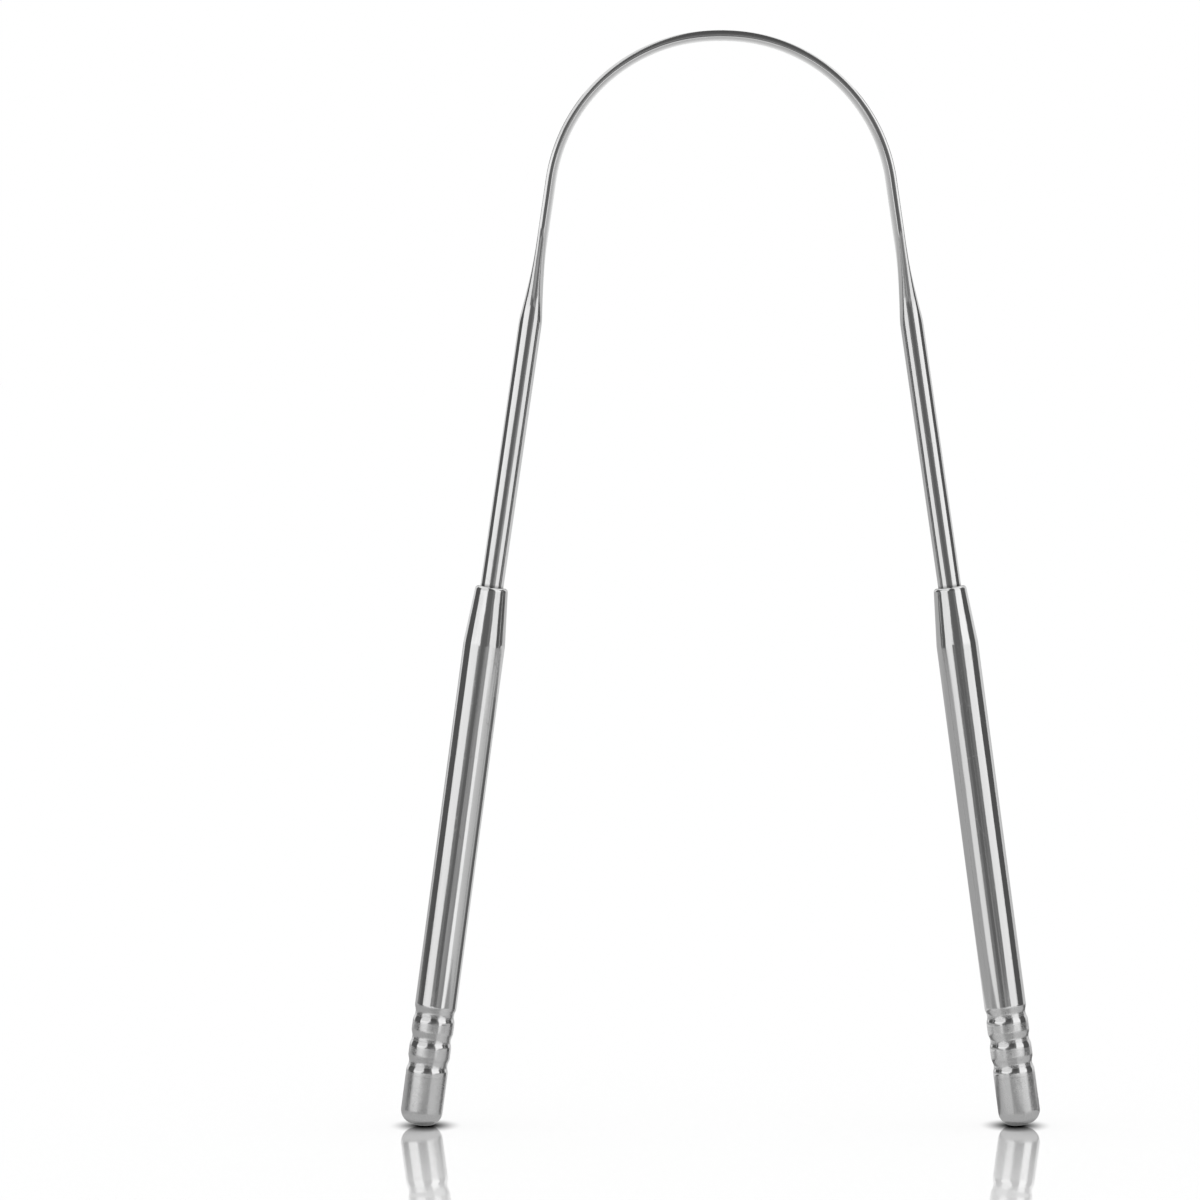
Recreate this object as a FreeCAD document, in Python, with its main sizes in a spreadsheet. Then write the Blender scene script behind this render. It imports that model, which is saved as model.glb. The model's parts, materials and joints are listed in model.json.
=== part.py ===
"""Tongue scraper: a steel rod bent to a U with a flattened crown, in two plugged tube handles.

Millimetres, +Z up. The scraper stands upright on its two domed feet, symmetric about X = 0.
The U lies in the XZ plane, and the front of the tool faces -Y.
"""
import FreeCAD, Part
import os

import Sketcher

# Driving sizes: name, value in millimetres or degrees, what it sets.
SIZES = (
    ("crown_radius", 29.6, "slightly flattened top of the crown, at mid thickness"),
    ("crown_half_angle", 4.5, "half of that top's sweep, degrees"),
    ("shoulder_radius", 23.25, "bend from the top to each leg, at mid thickness"),
    ("leg_lean", 8.3, "lean of each leg from upright, degrees"),
    ("handle_lean", 7.65, "lean of each handle from upright, degrees"),
    ("neck_bend_radius", 40.0, "slight bend from leg to handle, just above the neck"),
    ("blade_thickness", 0.95, "pressed flat, through the scraping band"),
    ("blade_width", 5.2, "scraping band, front edge to back edge"),
    ("blade_edge_bulge", 0.11, "how far each rounded edge stands out of the flats"),
    ("blade_tilt", 6.3, "turn of the flats towards the front, degrees"),
    ("blade_run", 6.4, "flat straight stretch below each shoulder"),
    ("ramp_length", 14.1, "flat to round, along the leg"),
    ("ramp_knee", 7.0, "slow first part of the ramp, along the leg"),
    ("knee_share", 0.36, "how far from flat to round the section is at the knee, 0 to 1"),
    ("rod_diameter", 3.2, "round rod of both legs"),
    ("rod_shown", 36.0, "round rod between ramp and handle"),
    ("rod_insert", 22.0, "rod inside the handle"),
    ("rod_tip_bevel", 0.4, "lead-in on the rod's end"),
    ("neck_fit", 0.02, "clearance of the rod in the swaged neck"),
    ("neck_wall", 0.63, "wall at the mouth of the neck"),
    ("neck_grip", 4.0, "straight bore that holds the rod"),
    ("neck_length", 8.0, "cone from mouth to full tube"),
    ("neck_rim_round", 0.5, "rounded rim of the mouth"),
    ("rod_room", 0.65, "gap between rod and tube bore"),
    ("tube_wall", 0.65, "wall of the handle tube"),
    ("body_length", 51.9, "plain tube from cone to the middle of the first groove"),
    ("groove_count", 3, "rolled grooves"),
    ("groove_pitch", 3.5, "spacing of the rolled grooves"),
    ("groove_depth", 0.22, "depth of a rolled groove"),
    ("groove_root_round", 1.6, "radius in the bottom of a groove"),
    ("groove_lip_round", 4.5, "radius of the rings beside a groove"),
    ("end_length", 1.75, "tube from the last groove's middle to its end"),
    ("seam_bevel", 0.05, "broken edge each side of the plug's seam"),
    ("plug_fit", 0.02, "clearance of the plug's spigot in the bore"),
    ("plug_reach", 2.6, "spigot beyond the middle of the first groove"),
    ("plug_lead_in", 0.5, "lead-in on the spigot's end"),
    ("plug_rim", 6.2, "straight side of the plug's head, before rounding"),
    ("dome_height", 0.75, "height of the domed foot beyond that side"),
    ("dome_corner_round", 2.0, "rounding between side and dome"),
)

# How far a cutting profile stands out of the surface that it cuts.
CUT_MARGIN = 0.5

# Distances worked out from the driving sizes, as expressions on the sheet.
ROD_RADIUS = "(dims.rod_diameter / 2)"
NECK_BORE = f"({ROD_RADIUS} + dims.neck_fit)"
NECK_RADIUS = f"({NECK_BORE} + dims.neck_wall)"
TUBE_BORE = f"({ROD_RADIUS} + dims.rod_room)"
TUBE_RADIUS = f"({TUBE_BORE} + dims.tube_wall)"
SPIGOT_RADIUS = f"({TUBE_BORE} - dims.plug_fit)"
FIRST_GROOVE = "(dims.neck_length + dims.body_length)"
TUBE_LENGTH = f"({FIRST_GROOVE} + (dims.groove_count - 1) * dims.groove_pitch + dims.end_length)"
DOME_RADIUS = f"(({TUBE_RADIUS}^2 + dims.dome_height^2) / (2 * dims.dome_height))"
FOOT_TIP = f"({TUBE_LENGTH} + dims.plug_rim + dims.dome_height)"
LEG_TO_NECK = "(dims.blade_run + dims.ramp_length + dims.rod_shown)"
RADIUS_STEP = "(dims.crown_radius - dims.shoulder_radius)"

# Section of the blade: its flats lie along the run, its rounded edges stand out at both ends.
BLADE_BULGE = "dims.blade_edge_bulge"
BLADE_HALF_RUN = f"(dims.blade_width / 2 - {BLADE_BULGE})"
BLADE_HALF_THICK = "(dims.blade_thickness / 2)"

# Centre of a shoulder bend, from the centre of the crown bend.
SHOULDER_X = f"({RADIUS_STEP} * sin(dims.crown_half_angle))"
SHOULDER_Z = f"({RADIUS_STEP} * cos(dims.crown_half_angle))"
SHOULDER_TURN = "(90 - dims.leg_lean)"

# Centre of the slight bend above a handle, from the centre of the crown bend.
BEND_STEP = "(dims.shoulder_radius - dims.neck_bend_radius)"
BEND_X = f"({SHOULDER_X} + {BEND_STEP} * cos(dims.leg_lean) + {LEG_TO_NECK} * sin(dims.leg_lean))"
BEND_Z = f"({SHOULDER_Z} + {BEND_STEP} * sin(dims.leg_lean) - {LEG_TO_NECK} * cos(dims.leg_lean))"
HANDLE_TURN = "(90 - dims.handle_lean)"

# Mouth of a handle's neck above the floor and out from the middle. Both domes touch the floor at Z = 0.
NECK_Z = f"({DOME_RADIUS} + ({FOOT_TIP} - {DOME_RADIUS}) * cos(dims.handle_lean))"
NECK_X = f"({BEND_X} + dims.neck_bend_radius * cos(dims.handle_lean))"
CROWN_Z = f"({NECK_Z} - {BEND_Z} - dims.neck_bend_radius * sin(dims.handle_lean))"

# A straight edge of an outline, and how near two points count as one.
LINE = None
SAME_POINT = 1e-4


def make_sheet(doc):
    sheet = doc.addObject("Spreadsheet::Sheet", "dims")
    for row, (name, value, meaning) in enumerate(SIZES, start=1):
        sheet.set(f"A{row}", meaning)
        sheet.set(f"B{row}", str(value))
        sheet.setAlias(f"B{row}", name)
    doc.recompute()
    return sheet


def make_body(doc, label):
    body = doc.addObject("PartDesign::Body", label)
    body.Label = label
    return body


def origin_feature(body, role):
    return next(feature for feature in body.Origin.OriginFeatures if feature.Role == role)


def attach(sketch, body, role):
    sketch.AttachmentSupport = [(origin_feature(body, role), "")]
    sketch.MapMode = "FlatFace"


def arc_over(start, end, rise):
    """Arc whose middle stands out of its chord by rise, to the right of the way from start to end."""
    chord = end - start
    across = FreeCAD.Vector(chord.y, -chord.x, 0).normalize()
    return Part.Arc(start, (start + end) / 2 + across * rise, end)


def arc_turning(radius, drop):
    """Radius and rise of an arc that falls away from its first tangent by drop, a share of its radius."""
    return radius, f"{radius} * (1 - sqrt(1 - ({drop}) / 2))"


def arc_standing(half_chord, rise):
    """Radius and rise of an arc that stands out of its chord by rise."""
    return f"({half_chord}^2 + {rise}^2) / (2 * {rise})", rise


def bind_point(sketch, geometry, position, corner, values):
    """Hold one end of an edge at two expressions from the sketch's origin, point 1 of geometry -1."""
    kinds = (("DistanceX", "Vertical"), ("DistanceY", "Horizontal"))
    for (distance, level), expression, value in zip(kinds, corner, values):
        if expression == "0":
            sketch.addConstraint(Sketcher.Constraint(level, -1, 1, geometry, position))
            continue
        index = sketch.addConstraint(Sketcher.Constraint(distance, -1, 1, geometry, position, value))
        sketch.setExpression(f"Constraints[{index}]", expression)


def draw_outline(sheet, sketch, corners, edges):
    """Closed outline. Edge n runs from corner n to the next: LINE, or an arc's radius and rise."""
    def value(text):
        return float(sheet.evalExpression(text))

    values = [(value(x), value(y)) for x, y in corners]
    points = [FreeCAD.Vector(x, y, 0) for x, y in values]
    ends = []
    for index, edge in enumerate(edges):
        start, end = points[index], points[(index + 1) % len(points)]
        shape = Part.LineSegment(start, end) if edge is LINE else arc_over(start, end, value(edge[1]))
        geometry = sketch.addGeometry(shape, False)
        begins = 1 if sketch.getPoint(geometry, 1).isEqual(start, SAME_POINT) else 2
        ends.append((geometry, begins, 3 - begins))
    for index, edge in enumerate(edges):
        geometry, first, _ = ends[index]
        before, _, last = ends[index - 1]
        sketch.addConstraint(Sketcher.Constraint("Coincident", before, last, geometry, first))
        bind_point(sketch, geometry, first, corners[index], values[index])
        if edge is not LINE:
            number = sketch.addConstraint(Sketcher.Constraint("Radius", geometry, value(edge[0])))
            sketch.setExpression(f"Constraints[{number}]", edge[0])


def rod_section(sheet, body, name, place, half_run, half_thick, flat_edge, round_edge):
    """Section of the rod, square to its path, with the bend's axis as the sketch's X axis.

    place gives the turn about that axis, the axis's X and Z, and the bend's radius, as expressions.
    """
    turn, axis_x, axis_z, reach = place
    sketch = body.newObject("Sketcher::SketchObject", name)
    attach(sketch, body, "YZ_Plane")
    sketch.AttachmentOffset.Rotation = FreeCAD.Rotation(FreeCAD.Vector(1, 0, 0), 1)
    sketch.setExpression("AttachmentOffset.Rotation.Angle", turn)
    sketch.setExpression("AttachmentOffset.Base.y", axis_z)
    sketch.setExpression("AttachmentOffset.Base.z", axis_x)
    along = ("cos(dims.blade_tilt)", "-sin(dims.blade_tilt)")
    across = ("sin(dims.blade_tilt)", "cos(dims.blade_tilt)")
    corners = []
    for run_sign, thick_sign in (("+", "+"), ("-", "+"), ("-", "-"), ("+", "-")):
        shift = [f"{run_sign} {half_run} * ({run}) {thick_sign} {half_thick} * ({thick})"
                 for run, thick in zip(along, across)]
        corners.append((f"0 {shift[0]}", f"{reach} {shift[1]}"))
    draw_outline(sheet, sketch, corners, [flat_edge, round_edge, flat_edge, round_edge])
    return sketch


def blade_section(sheet, body, name, place):
    rounded_edge = arc_standing(BLADE_HALF_THICK, BLADE_BULGE)
    return rod_section(sheet, body, name, place, BLADE_HALF_RUN, BLADE_HALF_THICK, LINE, rounded_edge)


def round_section(sheet, body, name, place, radius):
    """Circle in four quarter arcs, one for each edge of the blade's section."""
    corner = f"({radius} / sqrt(2))"
    quarter = arc_turning(radius, "1")
    return rod_section(sheet, body, name, place, corner, corner, quarter, quarter)


def knee_section(sheet, body, name, place):
    """Section in the ramp, part of the way from the blade's section to the round rod's."""
    def on_the_way(flat, whole):
        return f"({flat} + dims.knee_share * ({whole} - {flat}))"

    corner = f"({ROD_RADIUS} / sqrt(2))"
    rise = f"({ROD_RADIUS} - {corner})"
    half_run = on_the_way(BLADE_HALF_RUN, corner)
    half_thick = on_the_way(BLADE_HALF_THICK, corner)
    flat_edge = arc_standing(half_run, f"(dims.knee_share * {rise})")
    rounded_edge = arc_standing(half_thick, on_the_way(BLADE_BULGE, rise))
    return rod_section(sheet, body, name, place, half_run, half_thick, flat_edge, rounded_edge)


def turn_about(body, kind, name, sketch, axis):
    feature = body.newObject(f"PartDesign::{kind}", name)
    feature.Profile = sketch
    feature.ReferenceAxis = (sketch, [axis])
    return feature


def loft(body, name, first, *others):
    feature = body.newObject("PartDesign::AdditiveLoft", name)
    feature.Profile = first
    feature.Sections = list(others)
    feature.Ruled = True
    return feature


def pad(body, name, sketch, length):
    feature = body.newObject("PartDesign::Pad", name)
    feature.Profile = sketch
    feature.setExpression("Length", length)
    return feature


def make_scraper_bow(doc, sheet):
    """One rod: flat crown and shoulders, flat run, ramp, round leg and tail, mirrored to the other side."""
    body = make_body(doc, "scraper_bow")

    def on_leg(distance):
        """Place of a section on the straight leg, at a distance below the end of the shoulder."""
        return (SHOULDER_TURN, f"{SHOULDER_X} + ({distance}) * sin(dims.leg_lean)",
                f"{SHOULDER_Z} - ({distance}) * cos(dims.leg_lean)", "dims.shoulder_radius")

    def in_handle(distance):
        """Place of a section on the tail, at a distance below the neck's mouth."""
        return (HANDLE_TURN, f"{BEND_X} + ({distance}) * sin(dims.handle_lean)",
                f"{BEND_Z} - ({distance}) * cos(dims.handle_lean)", "dims.neck_bend_radius")

    crown_sketch = blade_section(sheet, body, "crown_section", ("0", "0", "0", "dims.crown_radius"))
    crown = turn_about(body, "Revolution", "crown", crown_sketch, "H_Axis")
    crown.Midplane = True
    crown.setExpression("Angle", "2 * dims.crown_half_angle")

    shoulder_place = ("dims.crown_half_angle", SHOULDER_X, SHOULDER_Z, "dims.shoulder_radius")
    shoulder_sketch = blade_section(sheet, body, "shoulder_section", shoulder_place)
    shoulder = turn_about(body, "Revolution", "shoulder", shoulder_sketch, "H_Axis")
    shoulder.setExpression("Angle", f"{SHOULDER_TURN} - dims.crown_half_angle")

    flat = pad(body, "flat_run", blade_section(sheet, body, "flat_section", on_leg("0")), "dims.blade_run")

    ramp_top = blade_section(sheet, body, "ramp_top_section", on_leg("dims.blade_run"))
    ramp_knee = knee_section(sheet, body, "ramp_knee_section", on_leg("dims.blade_run + dims.ramp_knee"))
    ramp_end = "dims.blade_run + dims.ramp_length"
    ramp_foot = round_section(sheet, body, "ramp_foot_section", on_leg(ramp_end), ROD_RADIUS)
    ramp = loft(body, "ramp", ramp_top, ramp_knee, ramp_foot)

    rod_sketch = round_section(sheet, body, "rod_section", on_leg(ramp_end), ROD_RADIUS)
    rod = pad(body, "rod", rod_sketch, "dims.rod_shown")

    bend_place = (SHOULDER_TURN, BEND_X, BEND_Z, "dims.neck_bend_radius")
    bend_sketch = round_section(sheet, body, "neck_bend_section", bend_place, ROD_RADIUS)
    bend = turn_about(body, "Revolution", "neck_bend", bend_sketch, "H_Axis")
    bend.setExpression("Angle", "dims.leg_lean - dims.handle_lean")

    bevel_start = "dims.rod_insert - dims.rod_tip_bevel"
    tail_sketch = round_section(sheet, body, "tail_section", in_handle("0"), ROD_RADIUS)
    tail = pad(body, "tail", tail_sketch, bevel_start)

    bevel_top = round_section(sheet, body, "bevel_top", in_handle(bevel_start), ROD_RADIUS)
    tip_radius = f"({ROD_RADIUS} - dims.rod_tip_bevel)"
    bevel_tip = round_section(sheet, body, "bevel_tip", in_handle("dims.rod_insert"), tip_radius)
    tip = loft(body, "rod_tip", bevel_top, bevel_tip)

    other_leg = body.newObject("PartDesign::Mirrored", "other_leg")
    other_leg.Originals = [shoulder, flat, ramp, rod, bend, tail, tip]
    other_leg.MirrorPlane = (origin_feature(body, "YZ_Plane"), [""])
    body.Tip = other_leg
    body.setExpression("Placement.Base.z", CROWN_Z)
    return body


def lathe_sketch(sheet, body, name, corners, edges):
    """Half profile of a turned piece: X is the radius, Y runs down the handle from the neck's mouth."""
    sketch = body.newObject("Sketcher::SketchObject", name)
    attach(sketch, body, "XZ_Plane")
    draw_outline(sheet, sketch, corners, edges)
    return sketch


def groove_outline(surface, backing, lip, root):
    """Corners and edges of a rolled groove: two lip arcs and a root arc in a surface, closed at backing."""
    rounds = f"({lip} + {root})"
    drop = f"dims.groove_depth / {rounds}"
    reach = f"sqrt(2 * {rounds} * dims.groove_depth - dims.groove_depth^2)"
    slope_radius = f"{surface} - {lip} * {drop}"
    slope_reach = f"{reach} * {root} / {rounds}"
    corners = [
        (surface, f"{FIRST_GROOVE} - {reach}"),
        (slope_radius, f"{FIRST_GROOVE} - {slope_reach}"),
        (slope_radius, f"{FIRST_GROOVE} + {slope_reach}"),
        (surface, f"{FIRST_GROOVE} + {reach}"),
        (backing, f"{FIRST_GROOVE} + {reach}"),
        (backing, f"{FIRST_GROOVE} - {reach}"),
    ]
    lip_arc = arc_turning(lip, drop)
    root_arc = (root, f"-{root} * {drop}")
    return corners, [lip_arc, root_arc, lip_arc, LINE, LINE, LINE]


def repeat_grooves(body, name, feature):
    pattern = body.newObject("PartDesign::LinearPattern", name)
    pattern.Originals = [feature]
    pattern.Direction = (origin_feature(body, "Z_Axis"), [""])
    pattern.setExpression("Length", "(dims.groove_count - 1) * dims.groove_pitch")
    pattern.setExpression("Occurrences", "dims.groove_count")
    body.Tip = pattern
    return pattern


def ring_edge(shape, radius, height):
    """Name of the circular edge of a turned piece at a radius and a distance down its axis."""
    for number, edge in enumerate(shape.Edges, start=1):
        curve = edge.Curve
        if not isinstance(curve, Part.Circle):
            continue
        if abs(curve.Radius - radius) < SAME_POINT and abs(curve.Center.z - height) < SAME_POINT:
            return f"Edge{number}"
    raise ValueError(f"no ring edge of radius {radius} at {height}")


def round_ring(sheet, body, name, feature, radius, height, size):
    edge = ring_edge(feature.Shape, float(sheet.evalExpression(radius)), float(sheet.evalExpression(height)))
    fillet = body.newObject("PartDesign::Fillet", name)
    fillet.Base = (feature, [edge])
    fillet.setExpression("Radius", size)
    body.Tip = fillet
    return fillet


def place_on_leg(body, side):
    """Set a handle piece on its leg, with its own +Z running down the leg from the neck's mouth."""
    body.Placement = FreeCAD.Placement(FreeCAD.Vector(), FreeCAD.Rotation(FreeCAD.Vector(0, 1, 0), 90))
    body.setExpression("Placement.Rotation.Angle", f"180 - {side} * dims.handle_lean")
    body.setExpression("Placement.Base.x", f"{side} * {NECK_X}")
    body.setExpression("Placement.Base.z", NECK_Z)


def make_handle_tube(doc, sheet, label, side):
    """Tube with a swaged neck that grips the rod, a long plain body and rolled grooves near its end."""
    body = make_body(doc, label)
    wall_corners = [
        (NECK_BORE, "0"),
        (NECK_RADIUS, "0"),
        (TUBE_RADIUS, "dims.neck_length"),
        (TUBE_RADIUS, f"{TUBE_LENGTH} - dims.seam_bevel"),
        (f"{TUBE_RADIUS} - dims.seam_bevel", TUBE_LENGTH),
        (TUBE_BORE, TUBE_LENGTH),
        (TUBE_BORE, "dims.neck_length"),
        (NECK_BORE, "dims.neck_grip"),
    ]
    wall_sketch = lathe_sketch(sheet, body, "wall_profile", wall_corners, [LINE] * len(wall_corners))
    wall = turn_about(body, "Revolution", "wall", wall_sketch, "V_Axis")
    doc.recompute()
    rim_round = "min(dims.neck_rim_round; 0.8 * dims.neck_wall)"
    round_ring(sheet, body, "mouth_rim", wall, NECK_RADIUS, "0", rim_round)

    outer = groove_outline(TUBE_RADIUS, f"{TUBE_RADIUS} + {CUT_MARGIN}",
                           "dims.groove_lip_round", "dims.groove_root_round")
    groove_sketch = lathe_sketch(sheet, body, "groove_profile", *outer)
    groove = turn_about(body, "Groove", "groove", groove_sketch, "V_Axis")
    repeat_grooves(body, "grooves", groove)

    inner = groove_outline(TUBE_BORE, f"{TUBE_BORE} + dims.tube_wall / 2", *inner_groove_rounds())
    ridge_sketch = lathe_sketch(sheet, body, "ridge_profile", *inner)
    ridge = turn_about(body, "Revolution", "ridge", ridge_sketch, "V_Axis")
    repeat_grooves(body, "ridges", ridge)
    place_on_leg(body, side)
    return body


def inner_groove_rounds():
    """Lip and root radii where the rolled wall shows inside the tube."""
    return "(dims.groove_lip_round - dims.tube_wall)", "(dims.groove_root_round + dims.tube_wall)"


def make_end_plug(doc, sheet, label, side):
    """Turned plug: domed head flush with the tube, and a spigot that the rolled grooves hold."""
    body = make_body(doc, label)
    spigot_end = f"({FIRST_GROOVE} - dims.plug_reach)"
    rim_edge = f"({TUBE_LENGTH} + dims.plug_rim)"
    plug_corners = [
        ("0", spigot_end),
        (f"{SPIGOT_RADIUS} - dims.plug_lead_in", spigot_end),
        (SPIGOT_RADIUS, f"{spigot_end} + dims.plug_lead_in"),
        (SPIGOT_RADIUS, TUBE_LENGTH),
        (f"{TUBE_RADIUS} - dims.seam_bevel", TUBE_LENGTH),
        (TUBE_RADIUS, f"{TUBE_LENGTH} + dims.seam_bevel"),
        (TUBE_RADIUS, rim_edge),
        ("0", FOOT_TIP),
    ]
    dome = arc_turning(DOME_RADIUS, f"dims.dome_height / {DOME_RADIUS}")
    edges = [LINE] * (len(plug_corners) - 2) + [dome, LINE]
    plug_sketch = lathe_sketch(sheet, body, "plug_profile", plug_corners, edges)
    plug = turn_about(body, "Revolution", "plug", plug_sketch, "V_Axis")
    doc.recompute()
    corner_round = "min(dims.dome_corner_round; 2 * (dims.plug_rim - dims.seam_bevel))"
    round_ring(sheet, body, "dome_corner", plug, TUBE_RADIUS, rim_edge, corner_round)

    spigot = groove_outline(SPIGOT_RADIUS, f"{SPIGOT_RADIUS} + {CUT_MARGIN}", *inner_groove_rounds())
    groove_sketch = lathe_sketch(sheet, body, "spigot_groove_profile", *spigot)
    groove = turn_about(body, "Groove", "spigot_groove", groove_sketch, "V_Axis")
    repeat_grooves(body, "spigot_grooves", groove)
    place_on_leg(body, side)
    return body


def check_document(doc, bodies):
    for item in doc.Objects:
        if "Invalid" in item.State or "Error" in item.State:
            raise RuntimeError(f"{item.Name} did not compute: {item.State}")
    for body in bodies:
        if body.Shape.isNull() or not body.Shape.isValid() or len(body.Shape.Solids) != 1:
            raise RuntimeError(f"{body.Label} is not one valid solid")


def main():
    doc = FreeCAD.newDocument("tongue_scraper")
    sheet = make_sheet(doc)
    bodies = [make_scraper_bow(doc, sheet)]
    for name, side in (("left", -1), ("right", 1)):
        bodies.append(make_handle_tube(doc, sheet, f"{name}_handle_tube", side))
        bodies.append(make_end_plug(doc, sheet, f"{name}_end_plug", side))
    doc.recompute()
    check_document(doc, bodies)
    os.makedirs("parts", exist_ok=True)
    for body in bodies:
        body.Shape.exportStep(f"parts/{body.Label}.step")
        box = body.Shape.BoundBox
        print(f"{body.Label}: volume {body.Shape.Volume:.1f} mm3, x {box.XMin:.2f} to {box.XMax:.2f},"
              f" y {box.YMin:.2f} to {box.YMax:.2f}, z {box.ZMin:.3f} to {box.ZMax:.3f}")


main()
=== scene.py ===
"""Tongue scraper in its finished looks: polished stainless steel, standing on a white studio floor.

The scraper's lengths are in millimetres and turn into metres where a mesh is made. The studio's are in
metres, unless a name or comment says mm. Angles are in radians, but those of the cards are in degrees.
"""
import json
import math

import bmesh
import bpy
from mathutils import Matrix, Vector


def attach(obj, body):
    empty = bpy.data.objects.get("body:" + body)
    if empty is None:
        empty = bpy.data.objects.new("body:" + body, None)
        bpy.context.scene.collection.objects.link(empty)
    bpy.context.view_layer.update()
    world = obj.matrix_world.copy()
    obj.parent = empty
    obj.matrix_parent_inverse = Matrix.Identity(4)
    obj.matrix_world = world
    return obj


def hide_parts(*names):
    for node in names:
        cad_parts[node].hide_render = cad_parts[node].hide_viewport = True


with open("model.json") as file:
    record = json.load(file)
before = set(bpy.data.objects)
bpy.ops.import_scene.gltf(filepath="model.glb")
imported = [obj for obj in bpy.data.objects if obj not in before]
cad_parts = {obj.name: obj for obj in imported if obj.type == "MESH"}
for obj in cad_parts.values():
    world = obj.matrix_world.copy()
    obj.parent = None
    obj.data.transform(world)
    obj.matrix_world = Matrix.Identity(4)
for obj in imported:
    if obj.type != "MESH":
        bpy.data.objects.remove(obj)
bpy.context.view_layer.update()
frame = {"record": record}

MM = 0.001
QUARTER_TURN = math.pi / 2

# Handles, placed by the grip mounts of the frame.
GRIP = next(mount for mount in frame["record"]["mounts"] if mount["name"] == "right_grip")
HANDLE_AXIS = Vector(GRIP["axis"]).normalized()
HANDLE_LEAN = math.asin(HANDLE_AXIS.x)
TUBE_RADIUS = GRIP["dims"]["r_mm"]
NECK_LENGTH = 8.0
NECK_MOUTH = Vector(GRIP["pos_m"]) / MM - HANDLE_AXIS * (NECK_LENGTH + GRIP["dims"]["length_mm"] / 2)

# Bow: one rod, from the top of its pressed crown down to the tail in the handle.
CROWN_RADIUS = 29.6
CROWN_HALF_ANGLE = math.radians(4.5)
SHOULDER_RADIUS = 23.25
LEG_LEAN = math.radians(8.3)
NECK_BEND_RADIUS = 40.0
BLADE_THICKNESS = 0.95
BLADE_WIDTH = 5.2
BLADE_EDGE_BULGE = 0.11
BLADE_BELLY = 0.06
BLADE_TILT = math.radians(6.3)
BLADE_RUN = 6.4
RAMP_LENGTH = 14.1
DEPTH_RAMP_LENGTH = 11.6
THICKNESS_EASING = (0.5, 0.12)
DEPTH_EASING = (0.15, 0.15)
EDGE_DELAY = 1.6
ROD_RADIUS = 1.6
ROD_SHOWN = 36.0
ROD_INSERT = 22.0
ROD_TIP_BEVEL = 0.4

# Handle tube: swaged neck, plain body, rolled grooves, open end.
NECK_BORE = 1.62
NECK_RADIUS = 2.25
NECK_GRIP = 4.0
NECK_RIM_ROUND = 0.5
CREASE_ROUND = 6.0
TUBE_WALL = 0.65
TUBE_BORE = TUBE_RADIUS - TUBE_WALL
FIRST_GROOVE = 59.9
GROOVE_COUNT = 3
GROOVE_PITCH = 3.5
GROOVE_DEPTH = 0.22
GROOVE_ROOT_ROUND = 1.6
GROOVE_LIP_ROUND = 1.5
END_LENGTH = 1.75
GROOVES = [FIRST_GROOVE + GROOVE_PITCH * number for number in range(GROOVE_COUNT)]
TUBE_LENGTH = GROOVES[-1] + END_LENGTH
SEAM_BEVEL = 0.02
# Rolled stretch: it turns dull above the first groove, with a bright shoulder below each groove.
SATIN_START = (1.3, 0.85)
SHOULDER_TOP = (0.35, 0.6)
SHOULDER_FOOT = (1.2, 1.5)

# End plug: spigot inside the tube, domed head below it.
PLUG_FIT = 0.02
PLUG_REACH = 2.6
PLUG_LEAD_IN = 0.5
PLUG_RIM = 6.2
DOME_HEIGHT = 0.75
DOME_CORNER_ROUND = 2.0
DOME_RADIUS = (TUBE_RADIUS ** 2 + DOME_HEIGHT ** 2) / (2 * DOME_HEIGHT)
FOOT_TIP = TUBE_LENGTH + PLUG_RIM + DOME_HEIGHT
FOOT_CONTACT = NECK_MOUTH.x + (FOOT_TIP - DOME_RADIUS) * HANDLE_AXIS.x

# How finely the pieces are meshed.
TURN_STEPS = 144
FLAT_STOPS = (-1, -0.96, -0.88, -0.72, -0.54, -0.36, -0.18, 0, 0.18, 0.36, 0.54, 0.72, 0.88, 0.96)
EDGE_STEPS = 14
EDGE_STOPS = [2 * step / EDGE_STEPS - 1 for step in range(EDGE_STEPS)]
BLADE_STEP = 0.5
RAMP_STEP = 0.3
ROD_STEP = 2.0
NECK_BEND_STEP = 0.25
TAIL_STEP = 4.0
RIM_STEPS = 10
CONE_MARGIN = 0.6
CONE_STEP = 0.8
CREASE_STEPS = 8
BODY_MARGIN = 0.8
BODY_STEP = 2.0
GROOVE_STEP = 0.1
RIDGE_STEP = 0.25
DOME_STEPS = 20
SHARP_ANGLE = math.radians(32)
CORNER_PASSES = 14
BLADE_SOFTNESS = 0.06
RAMP_SOFTNESS = 1.1

# Lengths along the bow, from the crown's top.
CROWN_END = CROWN_RADIUS * CROWN_HALF_ANGLE
BEND_END = CROWN_END + SHOULDER_RADIUS * (QUARTER_TURN - LEG_LEAN - CROWN_HALF_ANGLE)
RAMP_START = BEND_END + BLADE_RUN
RAMP_END = RAMP_START + RAMP_LENGTH
NECK_BEND_START = RAMP_END + ROD_SHOWN
NECK_AT = NECK_BEND_START + NECK_BEND_RADIUS * (LEG_LEAN - HANDLE_LEAN)
BOW_END = NECK_AT + ROD_INSERT


def spread(start, end, step):
    """Even stops from start up to, but not including, end."""
    count = max(1, round((end - start) / step))
    return [start + (end - start) * number / count for number in range(count)]


def arc_stops(centre, radius, first, last, steps):
    """Arc of an outline, as (radius from the axis, distance down it) pairs. Angles run from the axis."""
    across, down = centre
    turns = [first + (last - first) * number / steps for number in range(steps + 1)]
    return [(across + radius * math.sin(turn), down + radius * math.cos(turn)) for turn in turns]


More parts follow.
